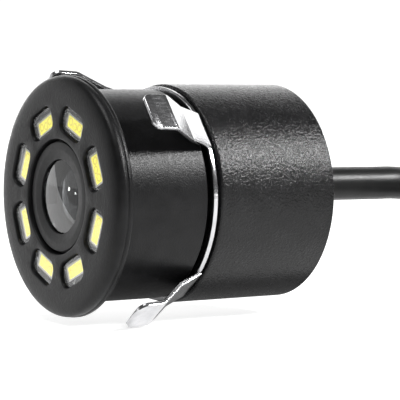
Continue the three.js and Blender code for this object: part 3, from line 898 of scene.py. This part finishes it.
# ---- Cable ----
# Straight out of the grommet, down and aside to the coil on the ground, and from the coil's top
# layer round and up over it to the plug, as in the design. In millimetres of the frame.
RUN_ROUTE = [
    (0, 17.0, 10.73), (0, 20.0, 10.70), (0, 22.0, 10.68), (-0.18, 24.5, 10.42),
    (-0.71, 27.0, 9.68), (-1.6, 29.5, 8.4), (-3.0, 32.25, 6.4), (-4.4, 35.0, 4.4),
    (-5.3, 37.5, 3.12), (-5.83, 40.0, 2.36), (-6.0, 42.3, 2.1),
]
TAIL_ROUTE = [
    (30.0, 38.2, 5.7), (27.6, 33.3, 7.0), (24.2, 29.6, 8.2), (20.6, 27.5, 8.9),
    (16.5, 26.75, 9.4), (12.4, 27.5, 9.8), (8.8, 29.6, 10.2), (6.1, 32.75, 10.5),
    (4.7, 36.7, 10.75), (4.5, 39.0, 10.86), (4.5, 40.0, 10.86),
]
COIL_CENTRE = Vector((12.5, 43.5))
COIL_PITCH = 3.1
COIL_OUTER = 18.5
COIL_INNER = 12.0
COIL_LOW = 2.1
COIL_HIGH = COIL_LOW + COIL_PITCH


def coil_points():
    """Two turns inwards on the ground, half a turn that climbs, and two turns outwards on top."""
    points_per_turn = 40
    layer_turns = 2
    climb = 0.5
    innermost = COIL_OUTER - layer_turns * COIL_PITCH
    points = []
    for i in range(round((2 * layer_turns + climb) * points_per_turn) + 1):
        turns = i / points_per_turn
        lift = min(max((turns - layer_turns) / climb, 0), 1)
        out = max(turns - layer_turns - climb, 0)
        if turns < layer_turns:
            radius = COIL_OUTER - COIL_PITCH * turns
        else:
            radius = innermost + (COIL_INNER - innermost) * lift + COIL_PITCH * out
        height = COIL_LOW + COIL_PITCH * lift * lift * (3 - 2 * lift)
        angle = math.pi - 2 * math.pi * turns
        points.append(Vector((
            COIL_CENTRE.x + radius * math.cos(angle),
            COIL_CENTRE.y + radius * math.sin(angle),
            height,
        )))
    return points


def smooth_path(points, steps):
    """A Catmull-Rom curve through the points."""
    path = []
    for i in range(len(points) - 1):
        before = points[max(i - 1, 0)]
        start = points[i]
        end = points[i + 1]
        after = points[min(i + 2, len(points) - 1)]
        for k in range(steps):
            t = k / steps
            path.append(0.5 * (
                2 * start + (end - before) * t
                + (2 * before - 5 * start + 4 * end - after) * t * t
                + (3 * start - before - 3 * end + after) * t ** 3
            ))
    path.append(points[-1])
    return path


def cable():
    """Round cable from inside the grommet, through the coil, to the plug."""
    start = CABLE_EXIT / MM
    in_grommet = start - Vector((0, 0.6, 0))
    clear_of_it = start + Vector((0, 1.0, 0))
    coil = coil_points()
    run = smooth_path([in_grommet, clear_of_it, *map(Vector, RUN_ROUTE), coil[0]], 6)
    tail = smooth_path([coil[-1], *map(Vector, TAIL_ROUTE)], 6)
    path = [*run[:-1], *coil, *tail[1:]]
    curve = bpy.data.curves.new("cable", "CURVE")
    curve.dimensions = "3D"
    curve.bevel_depth = CABLE_DIAMETER / 2 * MM
    curve.bevel_resolution = 5
    curve.use_fill_caps = True
    spline = curve.splines.new("POLY")
    spline.points.add(len(path) - 1)
    for point, place in zip(spline.points, path):
        point.co = (*(place * MM), 1)
    spline.use_smooth = True
    curve.materials.append(MATERIALS["cable_jacket"])
    made = add_object("cable", curve)
    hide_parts("cable_run", "cable_coil", "cable_tail")
    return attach(made, "housing")


def grommet():
    """Moulded strain relief: a collar against the back wall and a taper with three grooves."""
    wall = (rear_high.y - SEAT_Y) / MM
    end = (grommet_high.y - SEAT_Y) / MM
    inner = (grommet_low.y - SEAT_Y) / MM
    bore = 1.52
    inner_flange = 3.2
    neck = 2.17
    collar = 2.9
    gap = 0.08
    inner_wall = wall - WALL_THICKNESS - gap
    grooves = []
    for i in range(3):
        start = wall + 1.45 + i * 0.85
        radius = 2.48 - 0.17 * i
        floor = radius - 0.22
        grooves += [
            (radius, start), (floor, start + 0.08), (floor, start + 0.32),
            (radius - 0.04, start + 0.42),
        ]
    profile = rounded([
        (bore, inner + 0.6), (bore, inner), (inner_flange, inner, 0.15),
        (inner_flange, inner_wall, 0.1), (neck, inner_wall), (neck, wall + gap),
        (collar, wall + gap, 0.1), (collar, wall + 0.85, 0.3), (2.5, wall + 1.15, 0.2),
        *grooves, (1.86, end - 0.35), (1.80, end, 0.15), (bore, end),
    ])
    turned(profile, 72).piece(
        "strain_relief", "rubber", GROMMET_PLACE, stands_for=["cable_grommet"],
    )


# ---- Plug ----
# The plug's own y starts at the rim of its shell and grows towards the cable.
SHELL_LENGTH = 5.4
SHELL_RADIUS = 3.3
SHELL_BORE = 2.95
SHELL_END = SHELL_LENGTH - 0.06
PLUG_BODY_LENGTH = 13.5
RELIEF_LENGTH = 6.5
POLE_CIRCLE = 1.45
POLE_ANGLES = (45, 135, 225, 315)


def plug_body():
    """Moulded grip with three finger grooves and a ribbed strain relief."""
    radius = (plug_high.x - plug_low.x) / 2 / MM
    back = SHELL_LENGTH + PLUG_BODY_LENGTH
    end = back + RELIEF_LENGTH
    finger_grooves = []
    for i in range(3):
        start = SHELL_LENGTH + 4.0 + i * 2.4
        floor = radius - 0.35
        finger_grooves += [
            (radius, start, 0.15), (floor, start + 0.3, 0.12), (floor, start + 0.9, 0.12),
            (radius, start + 1.2, 0.15),
        ]
    relief_grooves = []
    for i in range(4):
        start = back + 1.1 + i * 1.25
        rib = 2.72 - i * 0.22
        floor = rib - 0.4
        relief_grooves += [
            (rib, start, 0.06), (floor, start + 0.15, 0.06), (floor, start + 0.5, 0.06),
            (rib - 0.1, start + 0.65, 0.06),
        ]
    profile = rounded([
        (0.0, SHELL_LENGTH), (radius - 0.5, SHELL_LENGTH, 0.1), (radius, SHELL_LENGTH + 0.5, 0.3),
        *finger_grooves, (radius, back - 0.6, 0.3), (radius - 0.6, back, 0.2),
        (2.9, back + 0.15, 0.2), *relief_grooves, (1.76, end, 0.1), (0.0, end),
    ], closed=False)
    return turned(profile, 96).piece(
        "plug_grip", "black_moulding", PLUG_PLACE, stands_for=["plug_body"],
    )


def plug_shell():
    """Metal sleeve with a fine rolled groove near its rim."""
    groove = SHELL_RADIUS - 0.08
    profile = rounded([
        (SHELL_BORE, 0.0, 0.05), (SHELL_RADIUS, 0.0, 0.12), (SHELL_RADIUS, 1.0), (groove, 1.08),
        (groove, 1.42), (SHELL_RADIUS, 1.5), (SHELL_RADIUS, SHELL_END), (SHELL_BORE, SHELL_END),
    ])
    return turned(profile, 96).piece(
        "plug_collar", "nickel", PLUG_PLACE, stands_for=["plug_shell"],
    )


def plug_insert():
    """Insert with four sockets and a keyway at the top."""
    front = 0.6
    radius = 2.85
    socket_radius = 0.45
    socket_depth = 3.2
    half_key = 0.4
    key_floor = radius - 0.45
    start = math.asin(half_key / radius)
    count = 72
    step = (2 * math.pi - 2 * start) / count
    rim = [round_axis(radius, start + i * step, 0) for i in range(count + 1)]
    outline = [*rim, Vector((-half_key, 0, key_floor)), Vector((half_key, 0, key_floor))]
    shape = Shape()
    face = shape.loop([point + Vector((0, front, 0)) for point in outline])
    rear = shape.loop([point + Vector((0, SHELL_END, 0)) for point in outline])
    shape.bridge(face, rear)
    mouths = []
    for angle in POLE_ANGLES:
        centre = round_axis(POLE_CIRCLE, math.radians(angle), 0)
        loops = []
        for depth, grow in ((0.0, 0.07), (0.08, 0.0), (socket_depth, 0.0)):
            socket_rim = [
                round_axis(socket_radius + grow, i * math.pi / 12, front + depth) + centre
                for i in range(24)
            ]
            loops.append(shape.loop(socket_rim))
        shape.stack(loops)
        shape.fill(loops[-1])
        mouths.append(loops[0])
    shape.fill(face, *mouths)
    shape.fill(rear)
    return shape.piece("plug_core", "black_moulding", PLUG_PLACE, stands_for=["plug_insert"])


def plug_contact(index):
    """A brass sleeve in one socket of the insert."""
    inner = 0.30
    outer = 0.43
    front = 0.9
    back = 3.7
    centre = round_axis(POLE_CIRCLE, math.radians(POLE_ANGLES[index]), 0)
    profile = rounded([(inner, front, 0.03), (outer, front, 0.04), (outer, back), (inner, back)])
    place = PLUG_PLACE @ Matrix.Translation(centre)
    return turned(profile, 24).piece(f"plug_contact_{index + 1}", "brass", place)


# ---- Tie round the coil ----
def cable_tie():
    """Strap closed round both layers of the coil, with its head outside and its end trimmed off."""
    thickness = 0.5
    width = 2.4
    clearance = 0.36
    direction = 60
    inner = COIL_INNER - CABLE_DIAMETER / 2 - clearance
    outer = COIL_OUTER + CABLE_DIAMETER / 2 + clearance
    high = COIL_HIGH + CABLE_DIAMETER / 2 + 0.16
    path = rectangle(outer - inner + thickness, high, 1.0, 8)
    path = even_line([*path, path[0]], 0.5)[:-1]
    middle = Vector(((inner + outer) / 2, 0, (thickness + high) / 2))
    section = rectangle(width, thickness * 0.9, 0.12, 3)
    shape = Shape()
    loops = []
    for k, point in enumerate(path):
        along = (path[(k + 1) % len(path)] - path[k - 1]).normalized()
        out = Vector((along.y, -along.x))
        loops.append(shape.loop([
            middle + Vector((point.x + out.x * p.y, p.x, point.y + out.y * p.y)) for p in section
        ]))
    shape.stack([*loops, loops[0]])
    place = (
        Matrix.Translation((COIL_CENTRE.x * MM, COIL_CENTRE.y * MM, 0))
        @ Matrix.Rotation(math.radians(direction), 4, "Z") @ ROW_PLACE
    )
    strap = shape.piece("tie_strap", "black_moulding", place, stands_for=["cable_tie"])
    head = Shape()
    half_width = (width + 1.0) / 2
    head_depth = 2.0
    head_height = 3.0
    centre = Vector((outer + thickness + 0.9, 0, middle.z))
    near = [(-half_width, 0.22), (-half_width + 0.06, 0.07), (-half_width + 0.22, 0.0)]
    levels = [*near, *[(-y, inset) for y, inset in reversed(near)]]

    def outline_at(y, inset):
        points = rectangle(head_depth - 2 * inset, head_height - 2 * inset, 0.45 - inset, 4)
        return [centre + Vector((point.x, y, point.y)) for point in points]

    first, last = head.prism(outline_at, levels)
    head.fill(first)
    head.fill(last)
    lock = head.piece("tie_head", "black_moulding", place)
    return [strap, lock]


# ---- The object ----
front_housing()
rear_housing()
clip_ring()
for index in range(WING_COUNT):
    wing(index)
lens_nose()
lens_element("glass_front", 3.12, NOSE_FRONT + 0.30, 1.5, 0.22, -0.5, "front_lens")
lens_element("glass_middle", 2.62, 3.1, 4.2, 0.1, 0.3, "middle_lens")
lens_element("glass_rear", 2.62, 5.3, 6.2, 0.45, 0.35, "rear_lens")
lamp_window()
for index in range(LAMP_COUNT):
    lamp_package(index)
    phosphor(index)
grommet()
plug_parts = [plug_body(), plug_shell(), plug_insert(), *[plug_contact(i) for i in range(4)]]
tie_parts = cable_tie()
cable()

# The CAD pieces that are still shown keep their shape and take their slot's finish.
for part in frame["record"]["subparts"]:
    node = frame["nodes"][part["node"]]
    if not node.hide_render:
        node.data.materials.clear()
        node.data.materials.append(MATERIALS[part["material_slot"]])


# ---- Studio ----
def lay_down(name, points, faces, finish):
    """A flat sheet on the ground, which is part of the studio and not of the object."""
    mesh = bpy.data.meshes.new(name)
    mesh.from_pydata(points, [], faces)
    mesh.materials.append(finish.material)
    sheet = add_object(name, mesh)
    return sheet


def add_floor():
    """A light table: a pale floor that glows a little, so that the shadows stay faint."""
    size = 6.0
    finish = Finish("floor", (0.50, 0.50, 0.50), 0.8)
    finish.set("Emission Color", (1, 1, 1, 1))
    finish.set("Emission Strength", 0.80)
    finish.set("Roughness", finish.spread(finish.noise(40, 3), 0.75, 0.9))
    corners = [(-size, -size, 0), (size, -size, 0), (size, size, 0), (-size, size, 0)]
    floor = lay_down("floor", corners, [(0, 1, 2, 3)], finish)
    floor.location.z = -0.0001


def floor_point(azimuth, distance):
    """A point of the floor at an azimuth in degrees and a distance in metres from the flange."""
    angle = math.radians(azimuth)
    return (distance * math.cos(angle), SEAT_Y + distance * math.sin(angle))


def add_floor_flag(name, near_edge, far_edge, radiance):
    """A grey card laid on the floor between two edges, seen only in reflections."""
    height = 0.0003
    finish = Finish(name, (0, 0, 0), 1.0)
    finish.set("Specular IOR Level", 0.0)
    finish.set("Emission Color", (1, 1, 1, 1))
    finish.set("Emission Strength", radiance)
    points = [(x, y, height) for x, y in [*near_edge, *far_edge]]
    count = len(near_edge)
    faces = [(i, i + 1, i + 1 + count, i + count) for i in range(count - 1)]
    flag = lay_down(name, points, faces, finish)
    flag.visible_camera = False
    flag.visible_diffuse = False
    flag.visible_shadow = False


def add_sector_flag(name, near, far, radiance):
    """A flag between two arcs, each given as (distance, from azimuth, to azimuth)."""
    steps = 24
    edges = []
    for distance, start, end in (near, far):
        azimuths = [start + (end - start) * i / steps for i in range(steps + 1)]
        edges.append([floor_point(azimuth, distance) for azimuth in azimuths])
    add_floor_flag(name, *edges, radiance)


def add_softbox(name, direction, distance, width, height, radiance, roll):
    """A soft rectangular light that faces the object, seen in reflections but not by the camera."""
    data = bpy.data.lights.new(name, "AREA")
    data.shape = "RECTANGLE"
    data.size = width
    data.size_y = height
    data.energy = radiance * math.pi * width * height
    towards = Vector(direction).normalized()
    light = add_object(name, data)
    light.location = Vector((0, 0, AXIS_Z)) + towards * distance
    light.rotation_mode = "QUATERNION"
    turn = towards.to_track_quat("Z", "Y")
    light.rotation_quaternion = turn @ Matrix.Rotation(math.radians(roll), 3, "Z").to_quaternion()
    light.visible_camera = False


def add_sun(direction, strength, angle):
    """Even light from overhead, with edges as soft as the angle of its disc in degrees."""
    data = bpy.data.lights.new("overhead", "SUN")
    data.energy = strength
    data.angle = math.radians(angle)
    light = add_object("overhead", data)
    light.rotation_mode = "QUATERNION"
    light.rotation_quaternion = Vector(direction).to_track_quat("Z", "Y")


def add_world():
    """A white studio to the camera, and a dim one for everything that it lights."""
    world = bpy.data.worlds.new("studio")
    bpy.context.scene.world = world
    world.use_nodes = True
    tree = world.node_tree
    seen = tree.nodes["Background"]
    seen.inputs["Color"].default_value = (1, 1, 1, 1)
    seen.inputs["Strength"].default_value = 1.1
    dim = tree.nodes.new("ShaderNodeBackground")
    dim.inputs["Color"].default_value = (1, 1, 1, 1)
    dim.inputs["Strength"].default_value = 0.10
    path = tree.nodes.new("ShaderNodeLightPath")
    choice = tree.nodes.new("ShaderNodeMixShader")
    tree.links.new(path.outputs["Is Camera Ray"], choice.inputs[0])
    tree.links.new(dim.outputs[0], choice.inputs[1])
    tree.links.new(seen.outputs[0], choice.inputs[2])
    tree.links.new(choice.outputs[0], tree.nodes["World Output"].inputs["Surface"])


add_floor()
add_world()
# The tops of the barrels mirror the backdrop, and the face and its glass mirror the side card, its
# fill and the two glints. The key draws the bright band along the barrels. Of each: the direction
# from the object, the distance, width and height in metres, the radiance and the roll in degrees.
SOFTBOXES = {
    "backdrop": ((-0.70, 0.65, 0.27), 0.9, 1.5, 0.68, 2.0, 0),
    "side_card": ((-0.950, -0.211, -0.23), 0.9, 0.66, 0.8, 1.02, 41),
    "side_fill": ((-0.906, -0.423, 0.20), 1.1, 2.2, 0.9, 0.6, 0),
    "first_glint": ((-0.757, -0.654, -0.008), 0.2, 0.0035, 0.0035, 16.0, 0),
    "second_glint": ((-0.700, -0.714, -0.025), 0.2, 0.0025, 0.0025, 10.0, 0),
    "key": ((0.62, 0.55, 0.56), 0.9, 0.26, 0.15, 80.0, 0),
}
add_sun((0.10, -0.30, 0.95), strength=1.6, angle=35)
for name, values in SOFTBOXES.items():
    add_softbox(name, *values)

# What the glass and the undersides mirror of the floor.
add_sector_flag("front_flag", near=(0.043, 225, 290), far=(1.0, 207.5, 290), radiance=0.45)
add_sector_flag("left_flag", near=(0.12, 150, 207.5), far=(1.0, 150, 207.5), radiance=1.36)
add_sector_flag("far_flag", near=(1.0, 150, 290), far=(6.0, 150, 290), radiance=0.0)
# Painted shade: a dim sheet under the camera, seen only in reflections, that stands in for the
# shaded floor beneath it.
add_floor_flag(
    "under_shade_flag", [(-0.009, -0.010), (0.0055, -0.010)], [(-0.009, 0.016), (0.0055, 0.016)],
    radiance=0.2,
)
bpy.context.scene.view_settings.view_transform = "Standard"
